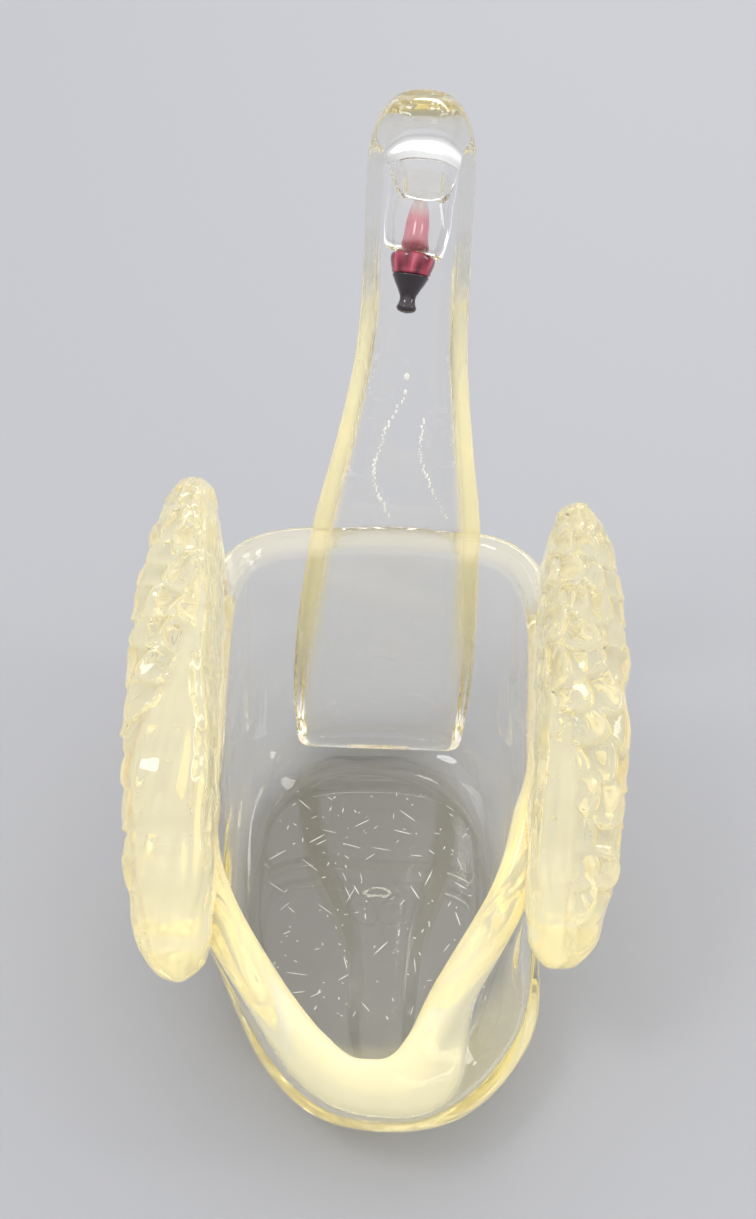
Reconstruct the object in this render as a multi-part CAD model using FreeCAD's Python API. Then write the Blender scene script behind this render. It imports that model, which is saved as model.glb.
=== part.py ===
import FreeCAD, Part
import math
import os

from FreeCAD import Vector

# A swan-shaped bowl of hot-worked clear glass. The origin is the centre of the flat base. +Z is up, +Y is the
# swan's breast, where the neck rises, and the tail lip points along -Y. All sizes are millimetres.

# Bowl. The outer face swells out from the foot; towards the tail it turns in again below the rim.
BASE_THICKNESS = 9.0
WALL = 5.0
FLOOR_FILLET = 4.0
FLOOR_FILLET_HEIGHT = 2.5
FOOT_HALF_WIDTH = 33.5
FOOT_REACH = 47.0
FOOT_ROUNDING = 6.0
SIDE_SWELL = 9.0
BREAST_SWELL = 9.0
BREAST_SLOPE = 0.115
TAIL_SWELL = 33.0
TAIL_SWELL_HEIGHT = 22.0
LOW_SWELL_SHARE = 0.6
TURN_START = 16.0
TURN_HEIGHT = 20.0
TURN_IN = 6.0
CENTRE_SHIFT = 15.0
CENTRE_HEIGHT = 25.0
FOOT_EXPONENT = 2.2
BREAST_EXPONENT = 4.0
TAIL_EXPONENTS = (2.25, 1.65)
TIP_ROUNDING = 0.12
BREAST_BLEND = (0.35, 0.55)

# The hand-formed tail is out of true. Its bulge and its rim stand to the right, and both sides of the rim are
# pulled to the left over a stretch: (amount, y of its middle, reach).
BULGE_SHIFT = (4.5, 6.5)
RIM_SHIFT = 3.1
LEFT_PULL = (6.4, -31.5, 23.5)
RIGHT_PULL = (7.4, -50.5, 19.5)
SIDES_BLEND = 20.0
TAIL_BEGINS = 10.0
TAIL_BLEND = 40.0

# Rim: low at the tail lip, high at the breast, and rolled over thick
TAIL_RIM_HEIGHT = 32.0
BREAST_RIM_HEIGHT = 78.0
RIM_RISE_EXPONENT = 1.35
ROLL_AT_TAIL = 4.7
ROLL_AT_BREAST = 3.2
ROLL_PROUD = 2.4
RIM_START_Y = -76.0
RIM_LENGTH = 141.0

# Levels at which the bowl's outer face and its cavity are drawn, and the block that cuts them to the rim
OUTER_LEVELS = (0.0, 2.5, 6.0, 11.0, 17.0, 23.0, 29.0, 36.0, 50.0, 66.0, 88.0)
CAVITY_LEVELS = (BASE_THICKNESS, 11.5, 15.0, 21.0, 27.0, 33.0, 40.0, 52.0, 68.0, 90.0)
LID_REACH = 80.0
LID_TOP = 140.0
LID_MARGIN = 30.0
LID_STEP = 15.0
LID_POINTS = 15

# Neck: a strap, flat in front and crowned behind. Each station is (y, z, width, thickness); the top is an arc
# with (degrees, width, thickness) round it.
NECK_STATIONS = (
    (56.0, 3.0, 47.0, 10.0),
    (62.0, 26.0, 51.0, 13.0),
    (66.5, 52.0, 49.5, 13.5),
    (70.0, 78.0, 44.0, 13.5),
    (73.5, 103.0, 34.5, 13.0),
    (76.5, 127.0, 27.5, 12.5),
    (78.0, 152.0, 25.5, 12.0),
)
ARCH_CENTRE = (61.5, 173.5)
ARCH_RADIUS = 17.0
ARCH_STATIONS = ((5.0, 25.0, 12.0), (50.0, 22.5, 12.0), (95.0, 18.0, 12.0), (142.0, 14.5, 11.5))
NECK_OFFSET = 1.0
NECK_LEAN = 4.7
NECK_LEAN_HEIGHT = 150.0
NECK_CROWN = 2.8
NECK_FRONT_SHARE = 0.2

# Head and beak, along a line that carries on from the arch. The casing is (part of length, width, depth).
HEAD_LENGTH = 14.5
HEAD_OUTLINE = ((0.0, 14.5, 11.5), (0.5, 14.2, 11.7), (0.8, 13.3, 10.6), (1.0, 12.3, 9.3))
HEAD_EXPONENT = 2.6
HEAD_CUT_SLOPE = 0.13
JOINT_SLOPE = 0.8
SLANT_SHARE = 0.5
HEAD_DROP = 52.0
HEAD_SIDEWAYS = -0.1
CORE_PROFILE = (
    (-11.0, 0.0), (-10.2, 1.3), (-6.6, 2.1), (-2.75, 2.4), (-0.7, 3.2),
    (0.4, 4.5), (1.6, 4.7), (3.4, 4.2), (4.5, 3.7),
)
BEAK_PROFILE = (
    (0.0, 3.7), (1.2, 3.4), (3.2, 2.3), (4.6, 1.7), (5.8, 1.75), (6.8, 2.1), (7.6, 1.6), (8.0, 0.0),
)

# Wings: thick pads that slope up towards the breast, blunt at the tail end. The ends are (y, z).
WING_HALF_DEPTH = 8.6
WING_DEPTH_LOSS = 1.6
WING_BELLY = 8.5
WING_HALF_HEIGHT = 17.6
WING_HEIGHT_GAIN = 1.19
WING_HEIGHT_PEAK = 1.3
WING_STANDOFF = 43.3
WING_SPREAD = 3.2
WING_BOW = 7.5
WING_OUTLINE = 2.3
WING_SECTION = 2.2
TAIL_END_BLUNTNESS = 9.0
BREAST_END_BLUNTNESS = 6.5
BLUNTNESS_BLEND = (0.3, 0.4)
LEFT_WING_ENDS = ((-50.0, 38.0), (55.0, 98.0))
RIGHT_WING_ENDS = ((-43.0, 38.0), (50.0, 98.0))
WING_PARTS = (0.008, 0.035, 0.1, 0.22, 0.4, 0.6, 0.78, 0.9, 0.965, 0.992)

# Modelling resolution
RING_POINTS = 24
ROLL_POINTS = 8
SETTLING_STEPS = 40
LOFT_DEGREE = 3
TINY = 1e-6


def save(shape, name):
    shape.exportStep(f"parts/{name}.step")
    box = shape.optimalBoundingBox(False)
    print(name, shape.isValid(), len(shape.Solids), round(shape.Volume), box)


def closed_wire(points):
    """A smooth closed wire through the points."""
    curve = Part.BSplineCurve()
    knots = [float(i) for i in range(len(points) + 1)]
    curve.interpolate(Points=points, PeriodicFlag=True, Parameters=knots)
    return Part.Wire(curve.toShape())


def loft(rings):
    """A solid through the rings, held to a low degree so that it stays close to them."""
    return Part.makeLoft(rings, True, False, False, LOFT_DEGREE)


def smooth_step(value):
    value = min(max(value, 0.0), 1.0)
    return value * value * (3.0 - 2.0 * value)


def settle(z, scale):
    """0 at the table, rising towards 1 with height."""
    return 1.0 - math.exp(-max(z, 0.0) / scale)


def ring_angles():
    return [2.0 * math.pi * (i + 0.5) / RING_POINTS for i in range(RING_POINTS)]


def reach_of(level):
    """How far out a level function, which rises outwards, passes 1."""
    low, high = 0.0, 2.0
    for _ in range(SETTLING_STEPS):
        middle = 0.5 * (low + high)
        if level(middle) < 1.0:
            low = middle
        else:
            high = middle
    return low


def signed_power(value, exponent):
    return math.copysign(abs(value) ** exponent, value)


# ---- bowl ----

def rounded_plan(u, v, blunt):
    """The plan's tip rounded: a point in parts of its half-axes, and how far it belongs to the breast."""
    start, blend = BREAST_BLEND
    ahead = smooth_step((v / math.hypot(u, v) + start) / blend)
    blunt *= 1.0 - ahead
    u = (math.hypot(u, blunt) - blunt) / (math.hypot(1.0, blunt) - blunt)
    return u, abs(v), ahead


def pull(y, amount, middle, reach):
    """A sideways pull that fades smoothly both ways along y."""
    return amount * math.exp(-((y - middle) / reach) ** 2)


def tail_shift(x, y, turned):
    """How far to the right the tail is out of true: its bulge low down, its rim higher up."""
    right = smooth_step(x / SIDES_BLEND + 0.5)
    behind = smooth_step((-y - TAIL_BEGINS) / TAIL_BLEND)
    bulge = (BULGE_SHIFT[0] + (BULGE_SHIFT[1] - BULGE_SHIFT[0]) * right) * behind
    rim = RIM_SHIFT * behind - pull(y, *LEFT_PULL) * (1.0 - right) - pull(y, *RIGHT_PULL) * right
    return bulge * (1.0 - turned) + rim * turned


def bowl_point(angle, z, inset):
    """A point of the bowl's plan at height z, inset from its outer face."""
    rounding = settle(z, FOOT_ROUNDING)
    turned = smooth_step((z - TURN_START) / TURN_HEIGHT)
    half_width = FOOT_HALF_WIDTH + SIDE_SWELL * rounding - inset
    centre = CENTRE_SHIFT * settle(z, CENTRE_HEIGHT)
    breast = FOOT_REACH + BREAST_SWELL * rounding + BREAST_SLOPE * z - centre - inset
    high_swell = (1.0 - LOW_SWELL_SHARE) * settle(z, TAIL_SWELL_HEIGHT)
    swell = TAIL_SWELL * (LOW_SWELL_SHARE * rounding + high_swell)
    tail = FOOT_REACH + swell + centre - TURN_IN * turned - inset
    breast_exponent = FOOT_EXPONENT + (BREAST_EXPONENT - FOOT_EXPONENT) * settle(z, CENTRE_HEIGHT)
    tail_exponent = TAIL_EXPONENTS[0] + (TAIL_EXPONENTS[1] - TAIL_EXPONENTS[0]) * turned

    def level(reach):
        u, v = abs(math.cos(angle)) * reach, math.sin(angle) * reach
        u, v, ahead = rounded_plan(u, v, TIP_ROUNDING * turned)
        exponent = tail_exponent + (breast_exponent - tail_exponent) * ahead
        return u ** exponent + v ** exponent

    reach = reach_of(level)
    y = centre + (breast if math.sin(angle) > 0.0 else tail) * math.sin(angle) * reach
    x = half_width * math.cos(angle) * reach
    return Vector(x + tail_shift(x, y, turned) * rounding, y, z)


def rim_along(y):
    return min(max((y - RIM_START_Y) / RIM_LENGTH, 0.0), 1.0)


def rim_height(y):
    """Height of the rim's centre line: low at the tail lip, high at the breast."""
    rise = math.sin(0.5 * math.pi * rim_along(y)) ** RIM_RISE_EXPONENT
    return TAIL_RIM_HEIGHT + (BREAST_RIM_HEIGHT - TAIL_RIM_HEIGHT) * rise - ROLL_AT_BREAST


def roll_radius(y):
    """Radius of the rim's roll, thickest at the tail."""
    return ROLL_AT_TAIL + (ROLL_AT_BREAST - ROLL_AT_TAIL) * rim_along(y) ** 2


def plan_loft(levels, inset_at):
    rings = [closed_wire([bowl_point(a, z, inset_at(z)) for a in ring_angles()]) for z in levels]
    return loft(rings)


def above_rim():
    """Everything higher than the rim's centre line, to cut the walls to height."""
    ys = [RIM_START_Y - LID_MARGIN + LID_STEP * i for i in range(LID_POINTS)]
    curve = Part.BSplineCurve()
    curve.interpolate(Points=[Vector(-LID_REACH, y, rim_height(y)) for y in ys])
    start, end = curve.StartPoint, curve.EndPoint
    corners = [end, Vector(-LID_REACH, end.y, LID_TOP), Vector(-LID_REACH, start.y, LID_TOP), start]
    edges = [curve.toShape()] + [Part.makeLine(a, b) for a, b in zip(corners, corners[1:])]
    return Part.Face(Part.Wire(edges)).extrude(Vector(2.0 * LID_REACH, 0.0, 0.0))


def rim_path():
    """The centre line of the rim's roll, as points."""
    points = []
    for angle in ring_angles():
        spot = bowl_point(angle, BREAST_RIM_HEIGHT, WALL)
        for _ in range(SETTLING_STEPS):
            z = 0.5 * (spot.z + rim_height(spot.y))
            spot = bowl_point(angle, z, roll_radius(spot.y) - ROLL_PROUD)
        points.append(spot)
    return points


def rim_roll():
    """The fire-polished roll that follows the rim, in two halves."""
    edge = closed_wire(rim_path()).Edges[0]
    rings = []
    for i in range(RING_POINTS):
        at = edge.getParameterByLength(edge.Length * i / RING_POINTS)
        centre = edge.valueAt(at)
        side = edge.tangentAt(at).cross(Vector(0.0, 0.0, 1.0)).normalize()
        up = side.cross(edge.tangentAt(at)).normalize()
        radius = roll_radius(centre.y)
        turns = [2.0 * math.pi * j / ROLL_POINTS for j in range(ROLL_POINTS)]
        circle = [centre + (side * math.cos(t) + up * math.sin(t)) * radius for t in turns]
        rings.append(closed_wire(circle))
    half = RING_POINTS // 2
    return [loft(rings[:half + 1]), loft(rings[half:] + rings[:1])]


def cavity_inset(z):
    """The cavity keeps the wall's thickness, and a fillet round its floor."""
    return WALL + FLOOR_FILLET * math.exp((BASE_THICKNESS - z) / FLOOR_FILLET_HEIGHT)


def make_bowl():
    """The bowl's outer form, which its neighbours are cut to, and the bowl itself."""
    lid = above_rim()
    form = plan_loft(OUTER_LEVELS, lambda z: 0.0).cut(lid)
    cavity = plan_loft(CAVITY_LEVELS, cavity_inset)
    roll = rim_roll()
    return form.fuse(roll), form.cut(cavity).fuse(roll)


# ---- neck and head ----

def lean(z):
    """How far the neck leans sideways at a height."""
    return NECK_OFFSET + NECK_LEAN * smooth_step(z / NECK_LEAN_HEIGHT)


def section_axes(tangent):
    """Directions across a section and out through its back."""
    outward = tangent.cross(Vector(1.0, 0.0, 0.0)).normalize()
    return outward.cross(tangent).normalize(), outward


def strap_ring(centre, tangent, width, thickness, slant=0.0):
    """A section of the strap: nearly flat in front and crowned behind, square to its path or slanting."""
    across, outward = section_axes(tangent)
    front = NECK_FRONT_SHARE * thickness
    widest = centre + outward * (front - 0.5 * thickness)
    points = []
    for angle in ring_angles():
        sideways = 0.5 * width * signed_power(math.cos(angle), 2.0 / NECK_CROWN)
        depth = thickness - front if math.sin(angle) > 0.0 else front
        out = depth * math.sin(angle)
        tilt = tangent * (slant * (out + front - 0.5 * thickness))
        points.append(widest + across * sideways + outward * out + tilt)
    return closed_wire(points)


def oval_ring(centre, tangent, width, depth, slope, slant):
    """A squarish oval section, tilted by a slope across it and a slant through it."""
    across, outward = section_axes(tangent)
    points = []
    for angle in ring_angles():
        sideways = 0.5 * width * signed_power(math.cos(angle), 2.0 / HEAD_EXPONENT)
        through = 0.5 * depth * signed_power(math.sin(angle), 2.0 / HEAD_EXPONENT)
        tilt = tangent * (slope * sideways + slant * through)
        points.append(centre + across * sideways + outward * through + tilt)
    return closed_wire(points)


def arch_point(degrees):
    angle = math.radians(degrees)
    y = ARCH_CENTRE[0] + ARCH_RADIUS * math.cos(angle)
    z = ARCH_CENTRE[1] + ARCH_RADIUS * math.sin(angle)
    return Vector(lean(z), y, z)


def make_neck():
    stations = [(Vector(lean(z), y, z), width, thick) for y, z, width, thick in NECK_STATIONS]
    stations += [(arch_point(degrees), width, thick) for degrees, width, thick in ARCH_STATIONS]
    rings = []
    for i, (centre, width, thickness) in enumerate(stations):
        before = stations[max(i - 1, 0)][0]
        after = stations[min(i + 1, len(stations) - 1)][0]
        tangent = Vector(0.0, after.y - before.y, after.z - before.z).normalize()
        slant = 0.0
        if i == len(stations) - 1:
            tangent, slant = head_direction(), JOINT_SLOPE
        rings.append(strap_ring(centre, tangent, width, thickness, slant))
    return loft(rings)


def head_direction():
    drop = math.radians(HEAD_DROP)
    return Vector(HEAD_SIDEWAYS, -math.cos(drop), -math.sin(drop)).normalize()


def make_head():
    """The clear casing, which ends in a slanting cut face, and the middle of that face."""
    start = arch_point(ARCH_STATIONS[-1][0])
    direction = head_direction()
    rings = []
    for part, width, depth in HEAD_OUTLINE:
        centre = start + direction * (part * HEAD_LENGTH)
        slant = JOINT_SLOPE * max(0.0, 1.0 - part / SLANT_SHARE)
        rings.append(oval_ring(centre, direction, width, depth, HEAD_CUT_SLOPE * part, slant))
    return loft(rings), start + direction * HEAD_LENGTH


def turned(profile, origin, direction):
    """A solid of revolution: (distance along, radius) points, on a line from the origin."""
    side = direction.cross(Vector(0.0, direction.z, -direction.y)).normalize()
    curve = Part.BSplineCurve()
    curve.interpolate(Points=[origin + direction * along + side * radius for along, radius in profile])
    ends = [curve.EndPoint, origin + direction * profile[-1][0],
            origin + direction * profile[0][0], curve.StartPoint]
    edges = [curve.toShape()]
    edges += [Part.makeLine(a, b) for a, b in zip(ends, ends[1:]) if a.distanceToPoint(b) > TINY]
    return Part.Face(Part.Wire(edges)).revolve(origin, direction, 360.0)


def make_core(face_centre):
    return turned(CORE_PROFILE, face_centre, head_direction())


def make_beak(face_centre):
    return turned(BEAK_PROFILE, face_centre + head_direction() * CORE_PROFILE[-1][0], head_direction())


# ---- wings ----

def wing_ring(part):
    """Points of a wing's section, as offsets outward and upward, at a part of its length."""
    depth = WING_HALF_DEPTH - WING_DEPTH_LOSS * part + WING_BELLY * part * (1.0 - part)
    height = WING_HALF_HEIGHT * (1.0 + WING_HEIGHT_GAIN * part * (WING_HEIGHT_PEAK - part))
    tail_end = 1.0 - smooth_step((part - BLUNTNESS_BLEND[0]) / BLUNTNESS_BLEND[1])
    bluntness = BREAST_END_BLUNTNESS + (TAIL_END_BLUNTNESS - BREAST_END_BLUNTNESS) * tail_end
    taken = abs(2.0 * part - 1.0) ** WING_OUTLINE
    widest = (1.0 - taken ** (bluntness / WING_OUTLINE)) ** (1.0 / WING_SECTION)
    tallest = (1.0 - taken) ** (1.0 / WING_OUTLINE)
    offsets = []
    for angle in ring_angles():
        across, up = widest * math.cos(angle), tallest * math.sin(angle)

        def level(reach):
            outline = taken + abs(up * reach) ** WING_OUTLINE
            return abs(across * reach) ** WING_SECTION + outline ** (bluntness / WING_OUTLINE)

        reach = reach_of(level)
        offsets.append((depth * across * reach, height * up * reach))
    return offsets


def make_wing(side, ends):
    """A thick pad on one side (-1 left, 1 right), blunt at the tail end and leaner at the breast end."""
    near = Vector(side * WING_STANDOFF, *ends[0])
    far = Vector(side * WING_STANDOFF, *ends[1])
    along = (far - near).normalize()
    upward = Vector(0.0, -along.z, along.y)
    rings = []
    for part in WING_PARTS:
        centre = near + along * (part * near.distanceToPoint(far))
        centre.x += side * (WING_SPREAD * part + WING_BOW * part * (1.0 - part))
        points = [centre + Vector(side * out, 0.0, 0.0) + upward * up for out, up in wing_ring(part)]
        rings.append(closed_wire(points))
    return loft(rings)


def main():
    os.makedirs("parts", exist_ok=True)
    form, bowl = make_bowl()
    head, face_centre = make_head()
    core = make_core(face_centre)
    save(bowl, "bowl")
    save(make_neck().cut(form), "neck")
    save(head.cut(core), "head")
    save(core, "head_core")
    save(make_beak(face_centre), "beak")
    save(make_wing(-1.0, LEFT_WING_ENDS).cut(form), "left_wing")
    save(make_wing(1.0, RIGHT_WING_ENDS).cut(form), "right_wing")


main()
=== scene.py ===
import math

import bmesh
import bpy
import numpy as np
from mathutils import Euler, Matrix, Vector


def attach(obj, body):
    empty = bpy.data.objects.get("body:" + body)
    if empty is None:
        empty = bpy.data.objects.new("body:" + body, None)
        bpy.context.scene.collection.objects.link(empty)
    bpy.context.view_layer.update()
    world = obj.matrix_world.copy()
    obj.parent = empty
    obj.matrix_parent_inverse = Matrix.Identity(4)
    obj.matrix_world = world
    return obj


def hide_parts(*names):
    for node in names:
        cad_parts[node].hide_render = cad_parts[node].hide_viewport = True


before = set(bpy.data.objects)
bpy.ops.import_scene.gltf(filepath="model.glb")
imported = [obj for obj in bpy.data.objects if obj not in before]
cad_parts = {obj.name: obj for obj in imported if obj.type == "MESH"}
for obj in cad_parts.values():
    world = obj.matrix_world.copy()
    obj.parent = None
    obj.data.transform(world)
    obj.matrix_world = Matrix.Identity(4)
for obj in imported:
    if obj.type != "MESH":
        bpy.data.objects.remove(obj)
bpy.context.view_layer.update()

# A swan-shaped bowl of hot-worked clear glass. The forms are worked out in millimetres, as distance fields
# whose zero level is meshed, and every mesh is turned into metres. +Z is up, +Y is the breast side, and the
# tail lip points along -Y. Nothing on it moves, so every piece rides on the root.

MM = 0.001
TINY = 1e-5
INSIDE = -20.0

# Bowl. The outer face swells out from the foot; towards the tail it turns in again below the rim.
BASE_THICKNESS = 9.0
FLOOR_FILLET = 9.0
WALL = 5.0
FOOT_HALF_WIDTH = 33.5
FOOT_REACH = 47.0
FOOT_ROUNDING = 6.0
FOOT_EDGE = 1.2
SIDE_SWELL = 9.0
BREAST_SWELL = 9.0
BREAST_SLOPE = 0.115
TAIL_SWELL = 33.0
TAIL_SWELL_HEIGHT = 22.0
LOW_SWELL_SHARE = 0.6
TURN_START = 16.0
TURN_HEIGHT = 20.0
TURN_IN = 6.0
CENTRE_SHIFT = 15.0
CENTRE_HEIGHT = 25.0
FOOT_EXPONENT = 2.2
BREAST_EXPONENT = 4.0
TAIL_EXPONENTS = (2.25, 1.65)
TIP_ROUNDING = 0.12
BREAST_BLEND = (0.35, 0.55)
PONTIL_X = 2.0
PONTIL_DEPTH = 0.6
PONTIL_RADIUS = 26.0

# The hand-formed tail is out of true. Its bulge and its rim stand to the right, and both sides of the rim are
# pulled to the left over a stretch: (amount, y of its middle, reach).
BULGE_SHIFT = (4.5, 6.5)
RIM_SHIFT = 3.1
LEFT_PULL = (6.4, -31.5, 23.5)
RIGHT_PULL = (7.4, -50.5, 19.5)
SIDES_BLEND = 20.0
TAIL_BEGINS = 10.0
TAIL_BLEND = 40.0

# Rim: low at the tail lip, high at the breast, and rolled over thick
TAIL_RIM_HEIGHT = 32.0
BREAST_RIM_HEIGHT = 78.0
RIM_RISE_EXPONENT = 1.35
RIM_START_Y = -76.0
RIM_LENGTH = 141.0
ROLL_AT_TAIL = 4.7
ROLL_AT_BREAST = 3.2
ROLL_PROUD = 2.4
ROLL_MELT = 1.8

# Neck: a strap, flat in front and crowned behind. Each station is (y, z, width, thickness); the top is an arc
# with (degrees, width, thickness) round it.
NECK_STATIONS = (
    (56.0, 3.0, 47.0, 10.0),
    (62.0, 26.0, 51.0, 13.0),
    (66.5, 52.0, 49.5, 13.5),
    (70.0, 78.0, 44.0, 13.5),
    (73.5, 103.0, 34.5, 13.0),
    (76.5, 127.0, 27.5, 12.5),
    (78.0, 152.0, 25.5, 12.0),
)
ARCH_CENTRE = (61.5, 173.5)
ARCH_RADIUS = 17.0
ARCH_STATIONS = ((5.0, 25.0, 12.0), (50.0, 22.5, 12.0), (95.0, 18.0, 12.0), (142.0, 14.5, 11.5))
PATH_STEPS = 24
NECK_OFFSET = 1.0
NECK_LEAN = 4.7
NECK_LEAN_HEIGHT = 150.0
NECK_CROWN = 2.8
NECK_FRONT_EDGE = 2.5
NECK_FOOT_EDGE = 7.0
NECK_FOOT_TOP = 60.0
HEAD_PART_BOTTOM = 160.0

# Head and beak, on a line that carries on from the arch. The profiles are (distance along, radius).
HEAD_LENGTH = 14.5
HEAD_TAPER = 2.2
HEAD_SWELL = 0.4
HEAD_EXPONENT = 2.6
HEAD_OVAL_FROM = 0.7
HEAD_CUT_SLOPE = 0.13
HEAD_CUT_EDGE = 1.0
JOINT_SLOPE = 0.8
HEAD_DROP = math.radians(52.0)
HEAD_SIDEWAYS = -0.1
CORE_PROUD = 4.5
CORE_PROFILE = (
    (-11.0, 0.0), (-10.2, 1.3), (-6.6, 2.1), (-2.75, 2.4), (-0.7, 3.2),
    (0.4, 4.5), (1.6, 4.7), (3.4, 4.2), (4.5, 3.6), (4.9, 0.0),
)
BEAK_PROFILE = (
    (-0.4, 0.0), (0.0, 3.6), (1.2, 3.4), (3.2, 2.3), (4.6, 1.7),
    (5.8, 1.75), (6.8, 2.1), (7.6, 1.6), (8.0, 0.0),
)

# Wings: thick pads that slope up towards the breast, blunt at the tail end. The ends are (y, z).
WING_HALF_DEPTH = 8.6
WING_DEPTH_LOSS = 1.6
WING_BELLY = 8.5
WING_HALF_HEIGHT = 17.6
WING_HEIGHT_GAIN = 1.19
WING_HEIGHT_PEAK = 1.3
WING_STANDOFF = 43.3
WING_SPREAD = 3.2
WING_BOW = 7.5
WING_OUTLINE = 2.3
WING_SECTION = 2.2
TAIL_END_BLUNTNESS = 9.0
BREAST_END_BLUNTNESS = 6.5
BLUNTNESS_BLEND = (0.3, 0.4)
WING_ENDS = {"left": ((-50.0, 38.0), (55.0, 98.0)), "right": ((-43.0, 38.0), (50.0, 98.0))}
WING_SEED = {"left": 1.0, "right": 2.6}

# Feather scales, pressed into the wings. Waves are (amount, rate, share of the wing's seed).
SCALE_WIDTH = 9.0
SCALE_ROW = 6.8
SCALE_RELIEF = 2.3
SCALE_TURN = math.radians(35.0)
SCALE_JITTER = 0.25
SCALE_TIP = 0.45
SCALE_TIP_ROUNDING = 0.62
SCALE_LIP = 0.26
SCALE_THINNING = 0.52
SCALES_REACH = {"left": 0.95, "right": 1.85}
SCALES_RISE = 1.3
WAVES_ALONG = ((1.4, 0.19, 1.0), (0.8, 0.43, 2.1))
WAVES_AROUND = ((1.5, 0.16, 1.7), (0.7, 0.37, 1.0))
STREAK_RATE = 1.5
STREAK_RELIEF = 0.35
STREAK_WAVES = ((1.2, 0.09, 1.0), (0.8, 0.21, 0.0))

# Bubbles inside the neck: (x, z) along each string, and (x, z, radius) of the larger ones
SEED_STRINGS = (
    ((4.0, 113.0), (-0.2, 104.5), (-1.1, 100.0), (-2.6, 95.4),
     (-2.9, 91.7), (-2.4, 88.0), (-0.9, 84.0), (1.9, 78.5)),
    ((9.2, 107.0), (8.7, 101.0), (8.8, 97.0), (10.9, 90.7), (13.2, 85.4), (17.0, 78.0)),
)
SEED_BLOBS = ((4.5, 119.0, 0.65), (4.3, 114.8, 0.45))
SEED_STEPS = 7

# Wear scratches on the bowl's floor, inside this rectangle
SCRATCH_SEED = 5
SCRATCH_COUNT = 170
SCRATCH_X = (-25.0, 27.0)
SCRATCH_Y = (-38.0, 34.0)
SCRATCH_HEIGHT = 9.0
SCRATCH_HALF_WIDTH = (0.09, 0.18)
SCRATCH_HALF_DEPTH = 0.06

# Where two pieces are melted together, they run into each other by this much
SEAM_OVERLAP = 0.3
SEAM_EDGE = 0.3

# Meshing
STEPS = {"bowl": 1.0, "neck": 0.9, "head": 0.5, "wing": 0.75}

# Colours
WHITE = (1.0, 1.0, 1.0, 1.0)
CREAM = (1.0, 0.93, 0.62, 1.0)
# This colour, and the strength two lines down, give the creamy parts a painted glow, light carried along
# thick glass
PAINTED_GLOW_COLOUR = (1.0, 0.94, 0.68, 1.0)
CREAM_CLEARNESS = 0.62
PAINTED_GLOW_STRENGTH = 0.13
RESIDUE = (0.62, 0.27, 0.05, 1.0)
STRAW_ABSORBED = (0.985, 0.86, 0.15, 1.0)
# From the red's own dark maroon up to a pale pink, which is a painted glow of light through the thin red
RED_STOPS = (
    (0.0, (0.09, 0.004, 0.014, 1.0)),
    (0.35, (0.42, 0.035, 0.075, 1.0)),
    (0.7, (0.86, 0.30, 0.34, 1.0)),
    (1.0, (0.93, 0.78, 0.73, 1.0)),
)
BLACK_STOPS = ((0.0, (0.006, 0.004, 0.006, 1.0)), (1.0, (0.035, 0.018, 0.022, 1.0)))
FLOOR_GREY = (0.4, 0.4, 0.41, 1.0)
SKY_STOPS = ((0.0, (0.42, 0.425, 0.44, 1.0)), (0.75, (0.95, 0.96, 1.0, 1.0)))
SKY_STRENGTH = 1.35

# Stage, in metres and watts: each lamp is (name, place, size, power)
FLOOR_HALF = 3.0
FLOOR_GAP = 0.0003
LAMPS = (
    ("key", (-0.5, -0.2, 1.0), (0.3, 0.3), 1.8),
    ("back", (0.25, 1.1, 0.7), (0.9, 0.16), 2.3),
    ("side", (0.9, -0.1, 0.5), (0.16, 0.5), 1.2),
)
LAMP_TARGET = (0.0, 0.0, 0.08)
CAMERA_PLACE = (-0.6, -259.3, 341.0)
CAMERA_PITCH = math.radians(42.0)
CAMERA_ROLL = math.radians(2.0)
CAMERA_SENSOR = 36.0
CAMERA_LENS = 47.25185
CAMERA_NEAREST = 0.01
BOUNCES = 48


# ---- fields ----

def smooth_step(value):
    value = np.clip(value, 0.0, 1.0)
    return value * value * (3.0 - 2.0 * value)


def settle(z, scale):
    """0 at the table, rising towards 1 with height."""
    return 1.0 - np.exp(-np.maximum(z, 0.0) / scale)


def smooth_min(a, b, radius):
    h = np.maximum(radius - np.abs(a - b), 0.0) / radius
    return np.minimum(a, b) - 0.25 * h * h * radius


def smooth_max(a, b, radius):
    return -smooth_min(-a, -b, radius)


def waves(rows, along, seed):
    """A sum of sines, one for each (amount, rate, share of the seed)."""
    return sum(amount * np.sin(rate * along + share * seed) for amount, rate, share in rows)


def as_distance(level, x, y, z, h=0.35):
    """A level function turned into a distance, by its own slope."""
    here = level(x, y, z)
    slope_x = (level(x + h, y, z) - here) / h
    slope_y = (level(x, y + h, z) - here) / h
    slope_z = (level(x, y, z + h) - here) / h
    slope = np.sqrt(slope_x * slope_x + slope_y * slope_y + slope_z * slope_z)
    return here / np.maximum(slope, 1e-3)


# ---- bowl ----

def pull(y, amount, middle, reach):
    """A sideways pull that fades smoothly both ways along y."""
    return amount * np.exp(-((y - middle) / reach) ** 2)


def tail_shift(x, y, turned):
    """How far to the right the tail is out of true: its bulge low down, its rim higher up."""
    right = smooth_step(x / SIDES_BLEND + 0.5)
    behind = smooth_step((-y - TAIL_BEGINS) / TAIL_BLEND)
    bulge = (BULGE_SHIFT[0] + (BULGE_SHIFT[1] - BULGE_SHIFT[0]) * right) * behind
    rim = RIM_SHIFT * behind - pull(y, *LEFT_PULL) * (1.0 - right) - pull(y, *RIGHT_PULL) * right
    return bulge * (1.0 - turned) + rim * turned


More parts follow.
